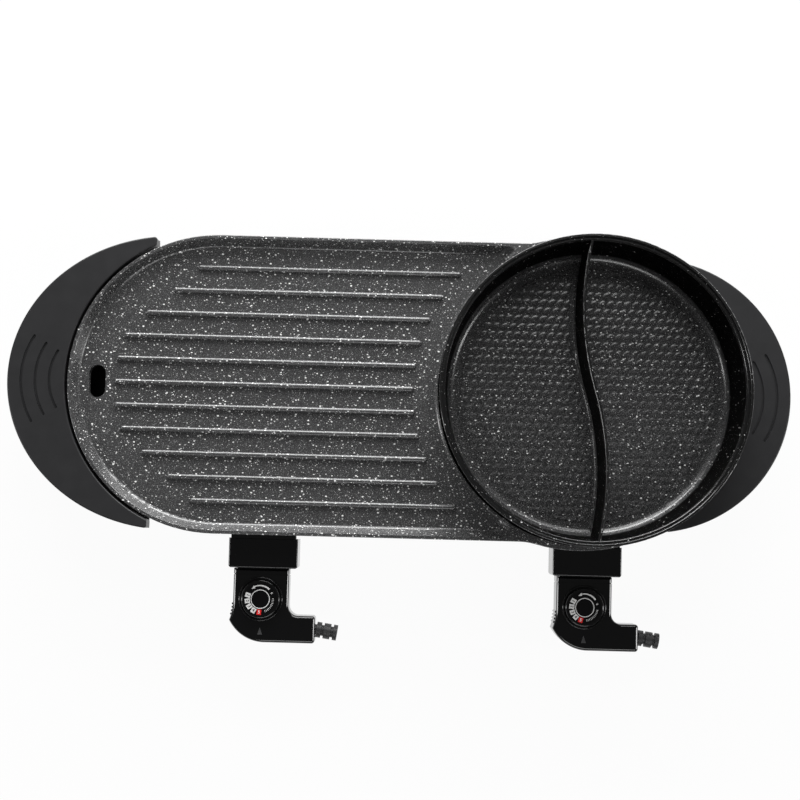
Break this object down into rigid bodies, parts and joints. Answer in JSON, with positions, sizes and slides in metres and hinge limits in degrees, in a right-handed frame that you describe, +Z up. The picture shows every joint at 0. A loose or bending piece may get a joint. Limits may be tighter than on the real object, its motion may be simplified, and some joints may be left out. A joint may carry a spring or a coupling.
{
  "type": "electric grill with divided hot pot",
  "caption": "Table-top cooker cast in one piece: a long ribbed grill tray joined to a round divided hot pot, with crescent end handles on legs and plug-in dial controllers.",
  "frame": {"origin": "middle of the footprint on the table, at the underside of the rubber feet", "axes": "+X along the casting from the grill tray to the pot, +Y from the controllers to the back, +Z up"},
  "size_m": [0.753, 0.3998, 0.125],
  "materials": {
    "granite_coating": "black non-stick coating with fine white speckles on cast aluminium, satin",
    "handle_plastic": "matte moulded charcoal phenolic",
    "leg_plastic": "matte moulded black",
    "gloss_black": "glossy moulded black",
    "heater_steel": "dull sheathed heating element steel",
    "plated_pin": "bright nickel plate",
    "ceramic": "unglazed white ceramic",
    "screw_steel": "zinc plated steel",
    "tray_enamel": "pressed steel with glossy black enamel",
    "foot_rubber": "matte black rubber",
    "cord_rubber": "satin black rubber",
    "phenolic": "dark brown phenolic",
    "lens_clear": "clear grey pilot window",
    "lamp_glass": "neon lamp glass",
    "dial_print": "black plate with white printed numbers"
  },
  "bodies": {
    "base": {"cast_pan": "granite_coating", "grill_heater": "heater_steel", "grill_terminal_pins": "plated_pin", "grill_terminal_beads": "ceramic", "grill_socket_shroud": "gloss_black", "grill_shroud_screws": "screw_steel", "pot_heater": "heater_steel", "pot_terminal_pins": "plated_pin", "pot_terminal_beads": "ceramic", "pot_socket_shroud": "gloss_black", "pot_shroud_screws": "screw_steel", "left_handle_cover": "handle_plastic", "left_leg_base": "leg_plastic", "left_handle_screws": "screw_steel", "left_leg_screws": "screw_steel", "left_front_foot": "foot_rubber", "left_back_foot": "foot_rubber", "right_handle_cover": "handle_plastic", "right_leg_base": "leg_plastic", "right_handle_screws": "screw_steel", "right_leg_screws": "screw_steel", "right_front_foot": "foot_rubber", "right_back_foot": "foot_rubber"},
    "drip_tray": {"drip_tray": "tray_enamel"},
    "grill_control": {"grill_control_upper_shell": "gloss_black", "grill_control_lower_shell": "gloss_black", "grill_control_case_screws": "screw_steel", "grill_control_contact_block": "phenolic", "grill_control_contacts": "plated_pin", "grill_control_probe": "heater_steel", "grill_control_thermostat": "phenolic", "grill_control_strain_relief": "cord_rubber", "grill_control_pilot_lens": "lens_clear", "grill_control_pilot_lamp": "lamp_glass", "grill_control_bezel": "gloss_black"},
    "grill_dial": {"grill_control_dial_knob": "gloss_black", "grill_control_dial_plate": "dial_print", "grill_control_dial_spindle": "screw_steel"},
    "pot_control": {"pot_control_upper_shell": "gloss_black", "pot_control_lower_shell": "gloss_black", "pot_control_case_screws": "screw_steel", "pot_control_contact_block": "phenolic", "pot_control_contacts": "plated_pin", "pot_control_probe": "heater_steel", "pot_control_thermostat": "phenolic", "pot_control_strain_relief": "cord_rubber", "pot_control_pilot_lens": "lens_clear", "pot_control_pilot_lamp": "lamp_glass", "pot_control_bezel": "gloss_black"},
    "pot_dial": {"pot_control_dial_knob": "gloss_black", "pot_control_dial_plate": "dial_print", "pot_control_dial_spindle": "screw_steel"}
  },
  "joints": [
    {"name": "drip_tray_slide", "type": "slide", "parent": "base", "child": "drip_tray", "axis": [-1, 0, 0], "range_m": [0, 0.095]},
    {"name": "grill_control_plug", "type": "slide", "parent": "base", "child": "grill_control", "axis": [0, -1, 0], "range_m": [0, 0.08]},
    {"name": "grill_dial_turn", "type": "hinge", "parent": "grill_control", "child": "grill_dial", "pos_m": [-0.1293, -0.1579, 0.043], "axis": [0, 0, 1], "range_deg": [-12, 241.5]},
    {"name": "pot_control_plug", "type": "slide", "parent": "base", "child": "pot_control", "axis": [0, -1, 0], "range_m": [0, 0.08]},
    {"name": "pot_dial_turn", "type": "hinge", "parent": "pot_control", "child": "pot_dial", "pos_m": [0.1855, -0.1579, 0.043], "axis": [0, 0, 1], "range_deg": [0, 253.5]}
  ]
}
